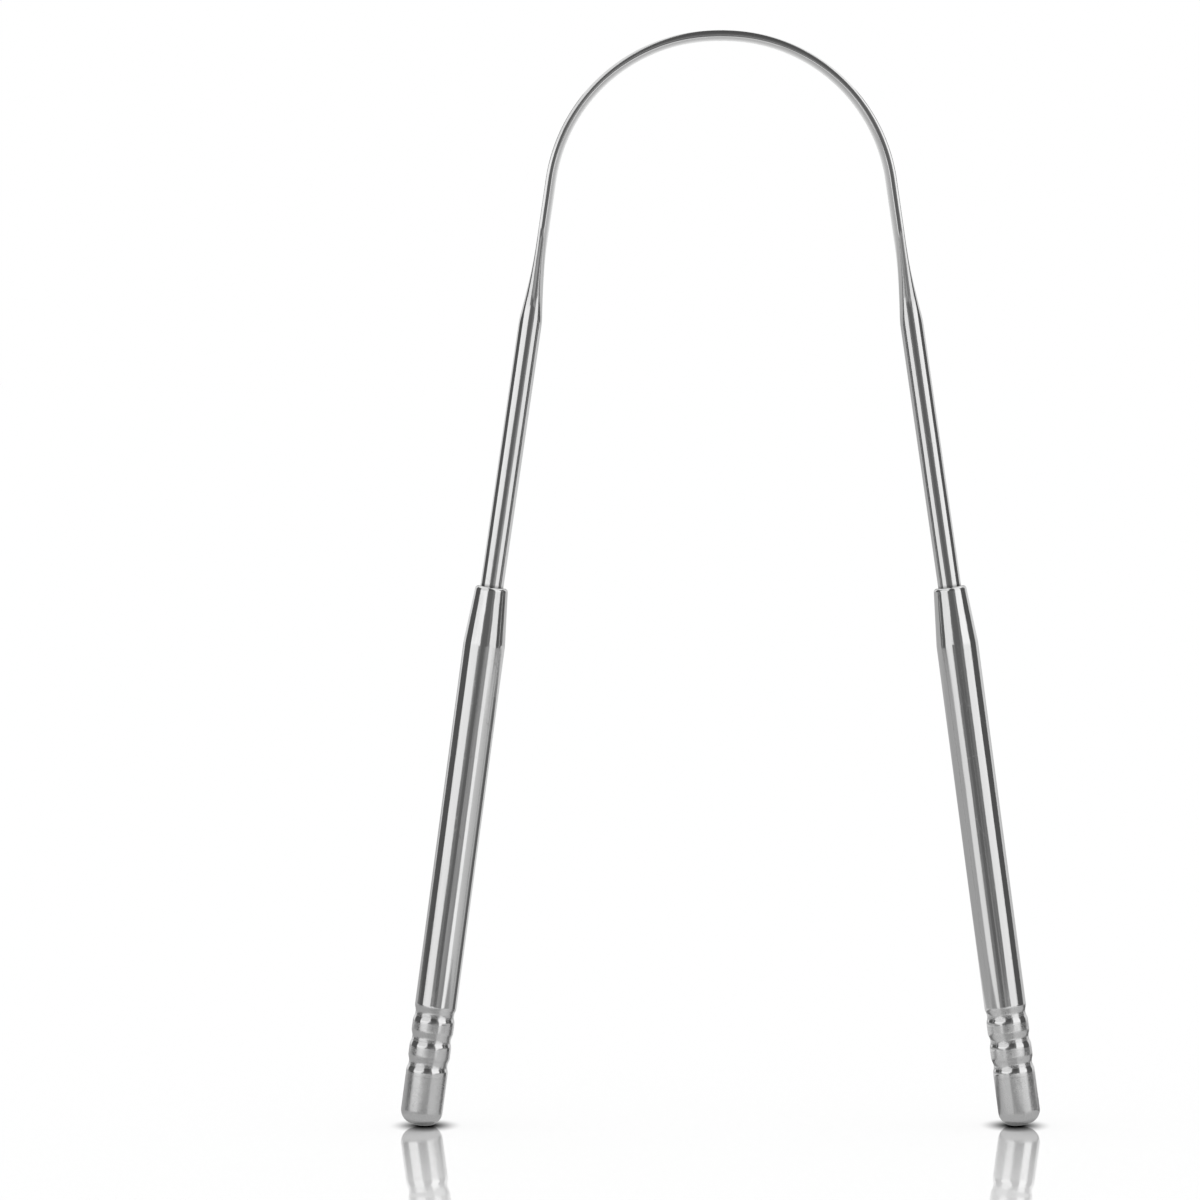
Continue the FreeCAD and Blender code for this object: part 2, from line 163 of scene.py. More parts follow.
def ring_mesh(name, rings, looped, poles=()):
    """Mesh of quads over rings of (place, grain) points, closed into a loop or with a pole at each end.

    Grain is a point in the piece's own frame, with its Z along the metal, and is kept for the finish.
    """
    mesh = bpy.data.meshes.new(name)
    shell = bmesh.new()
    grain_layer = shell.verts.layers.float_vector.new("grain")
    uv_layer = shell.loops.layers.uv.new("unrolled")

    def add_point(place, grain):
        vert = shell.verts.new(place * MM)
        vert[grain_layer] = grain
        return vert

    def add_face(corners):
        face = shell.faces.new([vert for vert, _ in corners])
        face.smooth = True
        for loop, (_, unrolled) in zip(face.loops, corners):
            loop[uv_layer].uv = unrolled

    rows = [[add_point(place, grain) for place, grain in ring] for ring in rings]
    around = len(rows[0])
    last = len(rows) if looped else len(rows) - 1
    for row in range(last):
        low, high = rows[row], rows[(row + 1) % len(rows)]
        for step in range(around):
            after = (step + 1) % around
            left, right = step / around, (step + 1) / around
            bottom, top = row / last, (row + 1) / last
            add_face([(low[step], (left, bottom)), (low[after], (right, bottom)),
                      (high[after], (right, top)), (high[step], (left, top))])
    for (place, grain), ring, level in zip(poles, (rows[0], rows[-1]), (0.0, 1.0)):
        pole = add_point(place, grain)
        for step in range(around):
            left, right = step / around, (step + 1) / around
            add_face([(ring[step], (left, level)), (ring[(step + 1) % around], (right, level)),
                      (pole, ((left + right) / 2, level))])
    bmesh.ops.recalc_face_normals(shell, faces=shell.faces)
    shell.to_mesh(mesh)
    shell.free()
    mesh.set_sharp_from_angle(angle=SHARP_ANGLE)
    piece = bpy.data.objects.new(name, mesh)
    bpy.context.scene.collection.objects.link(piece)
    return piece


def bow_path(distance):
    """Place and outward direction on the right half of the bow, with the crown's top at the origin."""
    place = Vector((0, 0, 0))
    turn = 0.0
    for length, radius in ((CROWN_END, CROWN_RADIUS),
                           (BEND_END - CROWN_END, SHOULDER_RADIUS),
                           (NECK_BEND_START - BEND_END, None),
                           (NECK_AT - NECK_BEND_START, NECK_BEND_RADIUS),
                           (ROD_INSERT, None)):
        step = min(distance, length)
        if radius is None:
            place += step * Vector((math.cos(turn), 0, -math.sin(turn)))
        else:
            ahead = turn + step / radius
            place += radius * Vector((math.sin(ahead) - math.sin(turn), 0,
                                      math.cos(ahead) - math.cos(turn)))
            turn = ahead
        distance -= step
        if distance <= 0:
            break
    return place, Vector((math.sin(turn), 0, math.cos(turn)))


CROWN_TOP = NECK_MOUTH.z - bow_path(NECK_AT)[0].z


def eased_way(way, ease_in, ease_out):
    """Way from 0 to 1 at an even speed, with that share of it spent speeding up and slowing down."""
    way = min(1.0, max(0.0, way))
    speed = 1 / (1 - (ease_in + ease_out) / 2)
    if way < ease_in:
        return speed * way ** 2 / (2 * ease_in)
    if way < 1 - ease_out:
        return speed * (way - ease_in / 2)
    return 1 - speed * (1 - way) ** 2 / (2 * ease_out)


def ramp_shares(distance):
    """Shares of the way from pressed blade, 0, to round rod, 1, in the rod's thickness and depth."""
    gone = distance - RAMP_START
    return (eased_way(gone / RAMP_LENGTH, *THICKNESS_EASING),
            eased_way(gone / DEPTH_RAMP_LENGTH, *DEPTH_EASING))


def bowed_edge(half_chord, rise, stops):
    """Points of an arc over a chord: place along the chord and height over it."""
    radius = (half_chord ** 2 + rise ** 2) / (2 * rise)
    half_turn = math.atan2(half_chord, radius - rise)
    return [(radius * math.sin(half_turn * stop), radius * math.cos(half_turn * stop) - radius + rise)
            for stop in stops]


def softened(outline, share):
    """Closed outline with each point moved by a share of the way to the middle of its neighbours."""
    neighbours = zip(outline[-1:] + outline[:-1], outline, outline[1:] + outline[:1])
    return [tuple(here + share * ((before + after) / 2 - here) for before, here, after in zip(*three))
            for three in neighbours]


def bow_section(thickness_share, depth_share):
    """Outline of the rod between blade and round, as (across the band, through the band) pairs."""
    def on_the_way(flat, whole, share):
        return flat + share * (whole - flat)

    round_rise = ROD_RADIUS * (1 - math.sqrt(0.5))
    face_rise = on_the_way(BLADE_BELLY, round_rise, thickness_share)
    edge_rise = on_the_way(BLADE_EDGE_BULGE, round_rise, thickness_share ** EDGE_DELAY)
    half_run = on_the_way(BLADE_WIDTH / 2, ROD_RADIUS, depth_share) - edge_rise
    half_thick = on_the_way(BLADE_THICKNESS / 2 + BLADE_BELLY, ROD_RADIUS, thickness_share) - face_rise
    face = bowed_edge(half_run, face_rise, FLAT_STOPS)
    edge = bowed_edge(half_thick, edge_rise, EDGE_STOPS)
    outline = ([(along, half_thick + height) for along, height in face]
               + [(half_run + height, -along) for along, height in edge]
               + [(-along, -half_thick - height) for along, height in face]
               + [(-half_run - height, along) for along, height in edge])
    softness = (1 - thickness_share) * (BLADE_SOFTNESS + RAMP_SOFTNESS * thickness_share)
    for _ in range(CORNER_PASSES):
        outline = softened(outline, softness)
    return outline


def bow_ring(distance, side, scale=1.0):
    centre, outward = bow_path(distance)
    ring = []
    for run, thick in bow_section(*ramp_shares(distance)):
        depth = (run * math.cos(BLADE_TILT) + thick * math.sin(BLADE_TILT)) * scale
        height = (thick * math.cos(BLADE_TILT) - run * math.sin(BLADE_TILT)) * scale
        place = centre + outward * height + Vector((0, depth, CROWN_TOP))
        place.x *= side
        ring.append((place, Vector((run, thick, side * distance))))
    return ring


def make_bow():
    """Flat crown and shoulders, ramps, round legs and hidden tails, swept from left tip to right tip."""
    bevel_start = BOW_END - ROD_TIP_BEVEL
    stretches = ((0, RAMP_START, BLADE_STEP), (RAMP_START, RAMP_END, RAMP_STEP),
                 (RAMP_END, NECK_BEND_START, ROD_STEP), (NECK_BEND_START, NECK_AT, NECK_BEND_STEP),
                 (NECK_AT, bevel_start, TAIL_STEP))
    stops = [stop for stretch in stretches for stop in spread(*stretch)] + [bevel_start]
    tip_scale = 1 - ROD_TIP_BEVEL / ROD_RADIUS
    halves = {side: [bow_ring(stop, side) for stop in stops] + [bow_ring(BOW_END, side, tip_scale)]
              for side in (-1, 1)}
    rings = list(reversed(halves[-1][1:])) + halves[1]
    tip = bow_path(BOW_END)[0] + Vector((0, 0, CROWN_TOP))
    poles = [(Vector((side * tip.x, 0, tip.z)), Vector((0, 0, side * BOW_END))) for side in (-1, 1)]
    return ring_mesh("steel_bow", rings, False, poles)


def handle_place(radius, distance, turn, side):
    """Place on a turned handle piece, at a distance down the leg from the neck's mouth."""
    axis = Vector((side * HANDLE_AXIS.x, 0, HANDLE_AXIS.z))
    across = Vector((-HANDLE_AXIS.z, 0, side * HANDLE_AXIS.x))
    centre = Vector((side * NECK_MOUTH.x, 0, NECK_MOUTH.z)) + axis * distance
    return centre + (across * math.cos(turn) + Vector((0, 1, 0)) * math.sin(turn)) * radius


def turned_ring(radius, distance, side):
    turns = [math.tau * step / TURN_STEPS for step in range(TURN_STEPS)]
    return [(handle_place(radius, distance, turn, side),
             Vector((radius * math.cos(turn), radius * math.sin(turn), distance))) for turn in turns]


def groove_dip(distance, lip, root):
    """Depth of the rolled grooves at a distance from the mouth: each is a root arc between lip arcs."""
    offset = min(abs(distance - middle) for middle in GROOVES)
    rounds = lip + root
    reach = math.sqrt(2 * rounds * GROOVE_DEPTH - GROOVE_DEPTH ** 2)
    if offset >= reach:
        return 0.0
    if offset > reach * root / rounds:
        return lip - math.sqrt(lip ** 2 - (reach - offset) ** 2)
    return GROOVE_DEPTH - root + math.sqrt(root ** 2 - offset ** 2)


def grooved_wall(radius, lip, root, step):
    """Outline of a surface of that radius over the grooved stretch."""
    stops = spread(GROOVES[0] - GROOVE_PITCH / 2, GROOVES[-1] + GROOVE_PITCH / 2, step)
    return [(radius - groove_dip(stop, lip, root), stop) for stop in stops]


def ridged_wall(radius):
    """Outline of a surface inside the tube, where the grooves stand in as ridges."""
    lip, root = GROOVE_LIP_ROUND - TUBE_WALL, GROOVE_ROOT_ROUND + TUBE_WALL
    return grooved_wall(radius, lip, root, RIDGE_STEP)


def cone_crease():
    """Rounded crease between the neck's cone and the body."""
    slope = math.atan2(TUBE_RADIUS - NECK_RADIUS, NECK_LENGTH)
    start = NECK_LENGTH + CREASE_ROUND * math.tan(slope / 2)
    centre = (TUBE_RADIUS - CREASE_ROUND, start)
    return arc_stops(centre, CREASE_ROUND, QUARTER_TURN + slope, QUARTER_TURN, CREASE_STEPS)


def tube_outline():
    """Closed outline of the tube's wall: rim, cone, body and grooves outside, then back up the bore."""
    slope = (TUBE_RADIUS - NECK_RADIUS) / NECK_LENGTH
    rim_centre = (NECK_RADIUS - NECK_RIM_ROUND + slope * NECK_RIM_ROUND, NECK_RIM_ROUND)
    rim = arc_stops(rim_centre, NECK_RIM_ROUND, math.pi, QUARTER_TURN + math.atan(slope), RIM_STEPS)
    cone_stops = spread(CONE_MARGIN, NECK_LENGTH - CONE_MARGIN, CONE_STEP)
    cone = [(NECK_RADIUS + slope * stop, stop) for stop in cone_stops]
    body_stops = spread(NECK_LENGTH + BODY_MARGIN, GROOVES[0] - GROOVE_PITCH / 2, BODY_STEP)
    body = [(TUBE_RADIUS, stop) for stop in body_stops]
    grooves = grooved_wall(TUBE_RADIUS, GROOVE_LIP_ROUND, GROOVE_ROOT_ROUND, GROOVE_STEP)
    end = [(TUBE_RADIUS, TUBE_LENGTH - SEAM_BEVEL), (TUBE_RADIUS - SEAM_BEVEL, TUBE_LENGTH),
           (TUBE_BORE, TUBE_LENGTH)]
    bore = list(reversed(ridged_wall(TUBE_BORE)))
    bore += [(TUBE_BORE, NECK_LENGTH), (NECK_BORE, NECK_GRIP), (NECK_BORE, 0.0)]
    return rim + cone + cone_crease() + body + grooves + end + bore


def plug_outline():
    """Outline of the plug from the spigot's end to the tip of the dome."""
    spigot_radius = TUBE_BORE - PLUG_FIT
    spigot_end = GROOVES[0] - PLUG_REACH
    spigot = [(spigot_radius - PLUG_LEAD_IN, spigot_end), (spigot_radius, spigot_end + PLUG_LEAD_IN)]
    spigot += ridged_wall(spigot_radius)
    spigot += [(spigot_radius, TUBE_LENGTH), (TUBE_RADIUS - SEAM_BEVEL, TUBE_LENGTH),
               (TUBE_RADIUS, TUBE_LENGTH + SEAM_BEVEL)]
    dome_centre = FOOT_TIP - DOME_RADIUS
    corner_radius = TUBE_RADIUS - DOME_CORNER_ROUND
    rise = math.sqrt((DOME_RADIUS - DOME_CORNER_ROUND) ** 2 - corner_radius ** 2)
    join = math.atan2(corner_radius, rise)
    corner_centre = (corner_radius, dome_centre + rise)
    corner = arc_stops(corner_centre, DOME_CORNER_ROUND, QUARTER_TURN, join, DOME_STEPS)
    dome = arc_stops((0.0, dome_centre), DOME_RADIUS, join, 0.0, DOME_STEPS)
    return spigot + corner + dome[1:-1]


def make_handle_tube(name, side):
    return ring_mesh(name, [turned_ring(radius, stop, side) for radius, stop in tube_outline()], True)


def make_end_plug(name, side):
    outline = plug_outline()
    ends = (outline[0][1], FOOT_TIP)
    poles = [(handle_place(0.0, stop, 0.0, side), Vector((0, 0, stop))) for stop in ends]
    return ring_mesh(name, [turned_ring(radius, stop, side) for radius, stop in outline], False, poles)


def add_node(tree, kind, inputs=None, **settings):
    """New node with its settings, and its inputs set to values or linked to other nodes' sockets."""
    node = tree.nodes.new(kind)
    for setting, value in settings.items():
        setattr(node, setting, value)
    for socket, value in (inputs or {}).items():
        if isinstance(value, bpy.types.NodeSocket):
            tree.links.new(value, node.inputs[socket])
        else:
            node.inputs[socket].default_value = value
    return node


def math_node(tree, operation, *values):
    return add_node(tree, "ShaderNodeMath", dict(enumerate(values)), operation=operation).outputs[0]


def vector_node(tree, operation, *values):
    return add_node(tree, "ShaderNodeVectorMath", dict(enumerate(values)), operation=operation).outputs


def ease(tree, value, start, end, low=0.0, high=1.0):
    """Value eased from low at start to high at end."""
    inputs = {"Value": value, "From Min": start, "From Max": end, "To Min": low, "To Max": high}
    node = add_node(tree, "ShaderNodeMapRange", inputs, interpolation_type="SMOOTHSTEP")
    return node.outputs["Result"]


def new_group(name, inputs, output):
    """Empty shader node group with named sockets, and its input node."""
    group = bpy.data.node_groups.new(name, "ShaderNodeTree")
    for socket, kind, value in inputs:
        made = group.interface.new_socket(socket, in_out="INPUT", socket_type=kind)
        if value is not None:
            made.default_value = value
    group.interface.new_socket(output, in_out="OUTPUT", socket_type="NodeSocketFloat")
    return group, group.nodes.new("NodeGroupInput").outputs


def close_group(group, result):
    group.links.new(result, group.nodes.new("NodeGroupOutput").inputs[0])
    return group


def stretched_grain(tree, grain, across, along):
    """Grain point scaled across and along the metal."""
    scale = add_node(tree, "ShaderNodeCombineXYZ", {"X": across, "Y": across, "Z": along}).outputs[0]
    return vector_node(tree, "MULTIPLY", grain, scale)["Vector"]


def noise(tree, place, detail, roughness):
    inputs = {"Vector": place, "Scale": 1.0, "Detail": detail, "Roughness": roughness}
    return add_node(tree, "ShaderNodeTexNoise", inputs).outputs["Fac"]


# Finishes: each noise's detail and roughness, and the levels of it between which an effect comes in.
LINE_NOISE, LINE_RANGE = (4.0, 0.6), (0.3, 0.7)
PATCH_NOISE, PATCH_RANGE = (3.0, 0.55), (0.48, 0.72)
PATCH_STRETCH = 0.6
SMUDGE_NOISE, SMUDGE_RANGE = (2.0, 0.5), (0.25, 0.75)
SMUDGE_LEVELS = (0.5, 1.0)
SMUDGES_PER_MM = (1.4, 0.9)
SCRATCH_NOISE, SCRATCH_RANGE = (3.0, 0.6), (0.5, 0.62)
SCRATCH_SLANT = 0.5
SCRATCH_STRETCH = 0.16
PIT_NOISE = (2.0, 0.5)
PIT_LIMIT = 0.8
PIT_LIMIT_DROP = 0.5
PIT_SOFTNESS = 0.08


def make_drawn_lines():
    """Fine lines that drawing and polishing leave along the metal, 0 to 1."""
    group, given = new_group("drawn_lines", [("Grain", "NodeSocketVector", None),
                                             ("Lines per mm", "NodeSocketFloat", 2.5),
                                             ("Line length mm", "NodeSocketFloat", 20.0)], "Lines")
    along = math_node(group, "DIVIDE", 1.0, given["Line length mm"])
    place = stretched_grain(group, given["Grain"], given["Lines per mm"], along)
    return close_group(group, ease(group, noise(group, place, *LINE_NOISE), *LINE_RANGE))


def make_handling_marks():
    """Soft patches where fingers have dulled the polish, 0 to 1."""
    group, given = new_group("handling_marks", [("Grain", "NodeSocketVector", None),
                                                ("Patches per mm", "NodeSocketFloat", 0.16)], "Marks")
    along = math_node(group, "MULTIPLY", given["Patches per mm"], PATCH_STRETCH)
    place = stretched_grain(group, given["Grain"], given["Patches per mm"], along)
    patches = ease(group, noise(group, place, *PATCH_NOISE), *PATCH_RANGE)
    smudge_place = stretched_grain(group, given["Grain"], *SMUDGES_PER_MM)
    smudges = ease(group, noise(group, smudge_place, *SMUDGE_NOISE), *SMUDGE_RANGE, *SMUDGE_LEVELS)
    return close_group(group, math_node(group, "MULTIPLY", patches, smudges))


def make_hairline_scratches():
    """Thin stray scratches at a slant to the metal, 0 to 1."""
    group, given = new_group("hairline_scratches", [("Grain", "NodeSocketVector", None),
                                                    ("Scratches per mm", "NodeSocketFloat", 0.35),
                                                    ("Width", "NodeSocketFloat", 0.02)], "Scratches")
    slant = {"Vector": given["Grain"], "Angle": SCRATCH_SLANT}
    turned = add_node(group, "ShaderNodeVectorRotate", slant, rotation_type="X_AXIS").outputs[0]
    along = math_node(group, "MULTIPLY", given["Scratches per mm"], SCRATCH_STRETCH)
    place = stretched_grain(group, turned, given["Scratches per mm"], along)
    cells = add_node(group, "ShaderNodeTexVoronoi", {"Vector": place, "Scale": 1.0},
                     feature="DISTANCE_TO_EDGE")
    line = ease(group, cells.outputs["Distance"], 0.0, given["Width"], 1.0, 0.0)
    broken = ease(group, noise(group, place, *SCRATCH_NOISE), *SCRATCH_RANGE)
    return close_group(group, math_node(group, "MULTIPLY", line, broken))


def make_tumbled_pits():
    """Fine pits that tumbling leaves between spots of the old polish, 0 to 1."""
    group, given = new_group("tumbled_pits", [("Grain", "NodeSocketVector", None),
                                              ("Pits per mm", "NodeSocketFloat", 16.0),
                                              ("Share", "NodeSocketFloat", 0.6)], "Pits")
    place = stretched_grain(group, given["Grain"], given["Pits per mm"], given["Pits per mm"])
    drop = math_node(group, "MULTIPLY", given["Share"], PIT_LIMIT_DROP)
    edge = math_node(group, "SUBTRACT", PIT_LIMIT, drop)
    start = math_node(group, "SUBTRACT", edge, PIT_SOFTNESS)
    return close_group(group, ease(group, noise(group, place, *PIT_NOISE), start, edge))


def make_ring_shade():
    """Shade round a seam or mouth: 1 at a place along the metal, 0 beyond its reach."""
    group, given = new_group("ring_shade", [("Along", "NodeSocketFloat", 0.0),
                                            ("Place", "NodeSocketFloat", 0.0),
                                            ("Reach", "NodeSocketFloat", 0.5)], "Shade")
    gap = math_node(group, "ABSOLUTE", math_node(group, "SUBTRACT", given["Along"], given["Place"]))
    return close_group(group, ease(group, gap, 0.0, given["Reach"], 1.0, 0.0))


FINISHES = {"lines": make_drawn_lines(), "marks": make_handling_marks(),
            "scratches": make_hairline_scratches(), "pits": make_tumbled_pits(),
            "ring": make_ring_shade()}


def place_finish(tree, finish, inputs):
    return add_node(tree, "ShaderNodeGroup", inputs, node_tree=FINISHES[finish]).outputs[0]


def grey(level):
    return (level, level, level, 1.0)


# Steel: its level where grime and painted shade are thickest, reach of the painted shade from mouths,
# seam and foot, depth of lines.
GRIME_AND_SHADE_LEVEL = 0.4
ROD_MOUTH_SHADE_REACH = 0.5
TUBE_MOUTH_SHADE_REACH = 0.25
SEAM_SHADE_REACH = 0.1
FOOT_SHADE_REACH = 1.2
ROD_LINE_DEPTH = 0.0012
TUBE_LINE_DEPTH = 0.0022
PLUG_LINE_DEPTH = 0.001
SCRATCH_SHARE = -0.6
PIT_SHARE = 0.45


class SteelFinish:
    """Material of one steel piece: grain coordinate, shared finishes and a metal shader."""

    def __init__(self, name, level):
        self.material = bpy.data.materials.new(name)
        self.material.use_nodes = True
        self.tree = self.material.node_tree
        self.shader = self.tree.nodes["Principled BSDF"]
        self.shader.inputs["Metallic"].default_value = 1.0
        self.level = level
        grain = add_node(self.tree, "ShaderNodeAttribute", attribute_name="grain")
        self.grain = grain.outputs["Vector"]
        self.along = add_node(self.tree, "ShaderNodeSeparateXYZ", {0: self.grain}).outputs["Z"]

    def finish(self, kind, **inputs):
        return place_finish(self.tree, kind, {"Grain": self.grain, **inputs})

    # Mask of painted shade round a place along the metal.
    def ring(self, place, reach):
        return place_finish(self.tree, "ring", {"Along": self.along, "Place": place, "Reach": reach})

    def total(self, start, *shares):
        """Start plus each value times its share."""
        result = start
        for value, share in shares:
            add = {0: value, 1: share, 2: result}
            result = add_node(self.tree, "ShaderNodeMath", add, operation="MULTIPLY_ADD").outputs[0]
        return result

    def colour(self, stain_and_shade):
        """Base colour that goes from the steel's level to the level of grime and painted shade where
        their mask is 1.
        """
        level = ease(self.tree, stain_and_shade, 0.0, 1.0, self.level, GRIME_AND_SHADE_LEVEL)
        self.tree.links.new(level, self.shader.inputs["Base Color"])

    def roughness(self, value):
        self.tree.links.new(value, self.shader.inputs["Roughness"])

    def relief(self, height, depth_mm):
        """Bump whose height of 1 stands for that depth."""
        inputs = {"Height": height, "Strength": 1.0, "Distance": depth_mm * MM}
        bump = add_node(self.tree, "ShaderNodeBump", inputs)
        self.tree.links.new(bump.outputs["Normal"], self.shader.inputs["Normal"])


def make_blade_steel():
    """Bow: polished rod, drawn lines along it, painted shade where it goes into a handle."""
    steel = SteelFinish("polished_bow_steel", 0.79)
    lines = steel.finish("lines", **{"Lines per mm": 3.0, "Line length mm": 16.0})
    marks = steel.finish("marks", **{"Patches per mm": 0.2})
    scratches = steel.finish("scratches")
    # Painted shade: darker where the rod goes into each handle's neck.
    left_mouth_shade, right_mouth_shade = [steel.ring(place, ROD_MOUTH_SHADE_REACH) for place in (-NECK_AT, NECK_AT)]
    steel.colour(steel.total(0.0, (lines, 0.1), (marks, 0.08), (left_mouth_shade, 0.8), (right_mouth_shade, 0.8)))
    steel.roughness(steel.total(0.075, (lines, 0.03), (marks, 0.05), (scratches, 0.12)))
    steel.relief(steel.total(0.0, (lines, 1.0), (scratches, SCRATCH_SHARE)), ROD_LINE_DEPTH)
    return steel.material


def rolled_satin(steel):
    """Dull stretch from the first groove down, but for each ring's bright upper shoulder, 0 to 1."""
    start, end = SATIN_START
    rolled = ease(steel.tree, steel.along, FIRST_GROOVE - start, FIRST_GROOVE - end)
    below = math_node(steel.tree, "SUBTRACT", steel.along, FIRST_GROOVE)
    below = math_node(steel.tree, "FLOORED_MODULO", below, GROOVE_PITCH)
    above_shoulder = ease(steel.tree, below, *SHOULDER_TOP, 1.0, 0.0)
    under_shoulder = ease(steel.tree, below, *SHOULDER_FOOT)
    dull = math_node(steel.tree, "MAXIMUM", above_shoulder, under_shoulder)
    return math_node(steel.tree, "MULTIPLY", rolled, dull)


def make_handle_steel():
    """Handle tube: bright, with drawn lines down it, duller rings, and painted shade at the mouth and
    the seam.
    """
    steel = SteelFinish("polished_tube_steel", 0.78)
    lines = steel.finish("lines", **{"Lines per mm": 2.4, "Line length mm": 30.0})
    marks = steel.finish("marks", **{"Patches per mm": 0.14})
    scratches = steel.finish("scratches")
    # Painted shade at the neck's mouth and at the seam with the plug.
    mouth, seam = steel.ring(0.0, TUBE_MOUTH_SHADE_REACH), steel.ring(TUBE_LENGTH, SEAM_SHADE_REACH)
    pits = steel.finish("pits", Share=PIT_SHARE)
    satin = rolled_satin(steel)
    pitted = math_node(steel.tree, "MULTIPLY", satin, pits)
    steel.colour(steel.total(0.0, (lines, 0.12), (marks, 0.08), (mouth, 0.5), (seam, 0.2)))
    steel.roughness(steel.total(0.07, (lines, 0.05), (marks, 0.05), (scratches, 0.1),
                                (satin, 0.07), (pitted, 0.33)))
    steel.relief(steel.total(0.0, (lines, 1.0), (scratches, SCRATCH_SHARE)), TUBE_LINE_DEPTH)
    return steel.material


def make_plug_steel():
    """Plug: turned and tumbled, so half its polish is lost in fine pits, and painted shade darkens it
    where it stands.
    """
    steel = SteelFinish("tumbled_plug_steel", 0.76)
    lines = steel.finish("lines", **{"Lines per mm": 1.2, "Line length mm": 0.3})
    marks = steel.finish("marks", **{"Patches per mm": 0.3})
    scratches = steel.finish("scratches", **{"Scratches per mm": 0.6})
    pits = steel.finish("pits", Share=PIT_SHARE)
    # Painted shade at the seam, and towards the foot's tip where it stands on the floor.
    seam, foot = steel.ring(TUBE_LENGTH, SEAM_SHADE_REACH), steel.ring(FOOT_TIP, FOOT_SHADE_REACH)
    steel.colour(steel.total(0.0, (lines, 0.08), (marks, 0.1), (pits, 0.06), (seam, 0.2), (foot, 0.9)))
    steel.roughness(steel.total(0.15, (pits, 0.33), (lines, 0.04), (marks, 0.05), (scratches, 0.05)))
    steel.relief(steel.total(0.0, (lines, 0.6), (scratches, SCRATCH_SHARE)), PLUG_LINE_DEPTH)
    return steel.material


def dress(piece, node, material):
    piece.data.materials.append(material)
    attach(piece, "root")
    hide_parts(node)


# Studio: cards that only the steel's reflections see, at degrees right of the way to the camera.
# A curved card far off: azimuths, elevations, levels at its bottom and top.
FAR_CARDS = (
    ("front_flag", (-30.5, 30.5), (-30, 88), (0.2, 0.2)),
    ("front_core", (-15, 15), (-30, 88), (0.135, 0.135)),
    ("front_high_core", (-20, 20), (11, 88), (0.1, 0.07)),
    ("front_floor_flag", (-45, 45), (-80, -30), (0.5, 0.2)),
    ("left_crown_shade", (-75, -30.5), (-21, -12.5), (0.38, 0.38)),
    ("right_crown_shade", (30.5, 75), (-21, -12.5), (0.38, 0.38)),
    ("front_low_light", (2, 32), (-14, -4.3), (0.14, 0.4)),
    ("front_ramp_light", (-30.5, 2), (-14, -9), (0.42, 0.36)),
    ("left_softbox", (-78, -22.5), (1, 12), (0.95, 1.15)),
    ("left_high_softbox", (-78, -16), (12, 60), (0.85, 0.85)),
    ("left_low_softbox", (-69, -30.5), (-14, 1), (0.95, 0.95)),
    ("right_softbox", (30, 75), (1, 12), (0.98, 1.2)),
    ("right_high_softbox", (30, 75), (12, 60), (1.1, 1.0)),
    ("right_low_softbox", (30.5, 68), (-14, 1), (0.95, 0.95)),
    ("left_flag", (-128, -78), (1, 40), (0.1, 0.1)),
    ("left_low_flag", (-103, -69), (-14, 1), (0.12, 0.12)),
    ("right_flag", (75, 122), (1, 40), (0.1, 0.1)),
    ("right_mid_flag", (68, 119), (-6, 1), (0.1, 0.1)),
    ("right_low_flag", (68, 105), (-14, -6), (0.12, 0.12)),
    ("left_back", (-160, -128), (1, 40), (0.8, 0.8)),
    ("left_low_back", (-160, -103), (-14, 1), (0.48, 0.48)),
    ("right_back", (122, 160), (1, 40), (0.74, 0.74)),
    ("right_mid_back", (119, 160), (-6, 1), (0.6, 0.6)),
    ("right_low_back", (105, 160), (-14, -6), (0.7, 0.7)),
)
# A fan on the floor round one foot: the foot's side, azimuths, reach in mm, levels at both azimuths.
TABLE_CARDS = (
    ("left_table", 1, (-180, -62), 400, (0.42, 0.42)),
    ("left_front_table", 1, (-62, -31), 400, (0.87, 0.87)),
    ("right_table", -1, (50, 106), 400, (0.66, 0.45)),
    ("right_front_table", -1, (33, 50), 400, (1.05, 1.05)),
    ("right_back_flag", -1, (106, 134), 400, (0.13, 0.13)),
    ("right_back_table", -1, (134, 180), 400, (0.7, 0.7)),
    ("left_foot_flag", -1, (-28, 28), 70, (0.33, 0.33)),
    ("right_foot_flag", 1, (-28, 28), 70, (0.33, 0.33)),
    ("left_foot_light", -1, (28, 55), 70, (0.62, 0.62)),
    ("right_foot_light", 1, (-62, -28), 70, (0.6, 0.6)),
    ("left_near_table", -1, (-180, 180), 14, (0.48, 0.48)),
    ("right_near_table", 1, (-180, 180), 14, (0.48, 0.48)),
    ("left_foot_shade", -1, (-180, 180), 2.2, (0.25, 0.25)),
    ("right_foot_shade", 1, (-180, 180), 2.2, (0.25, 0.25)),
)
# Falling light round the middle of the backdrop: angles from straight behind, levels at both.
BACKDROP_FALL = ((8.2, 15), (0.9, 0.52)), ((15, 22), (0.52, 0.36)), ((22, 30), (0.36, 0.36))
CARD_DISTANCE = 12.0
CARD_GAP = 0.05
CARD_STEP = 5
TABLE_DROP = 0.0005
TABLE_HUB_MM = 0.1


def far_place(azimuth, elevation, distance):
    azimuth, elevation = math.radians(azimuth), math.radians(elevation)
    level = math.cos(elevation) * distance
    return Vector((math.sin(azimuth) * level, -math.cos(azimuth) * level,
                   math.sin(elevation) * distance))


